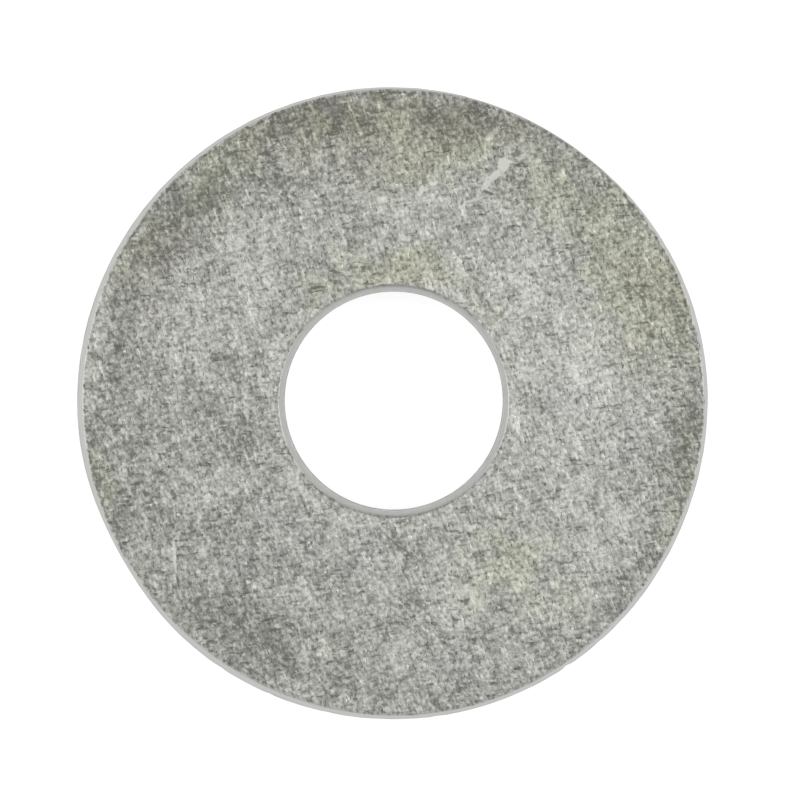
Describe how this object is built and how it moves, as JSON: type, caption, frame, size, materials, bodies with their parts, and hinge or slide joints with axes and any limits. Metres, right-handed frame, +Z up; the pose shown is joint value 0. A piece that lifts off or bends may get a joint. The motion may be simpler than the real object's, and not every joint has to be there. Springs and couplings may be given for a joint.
{
  "type": "flat washer",
  "caption": "Large-series flat steel washer with a round clearance hole, zinc plated, that spreads a fastener's load over a wide face.",
  "frame": {"origin": "centre of the hole at the lower face, the face the washer rests on", "axes": "+Z up along the hole's axis, towards the face whose edges are drawn down and rounded; X and Y are any two square directions in the lower face"},
  "size_m": [0.024, 0.024, 0.002],
  "materials": {
    "zinc_plated_steel": "satin, tumbled and zinc plated, mottled and finely scratched"
  },
  "bodies": {
    "root": {"washer": "zinc_plated_steel"}
  },
  "joints": []
}
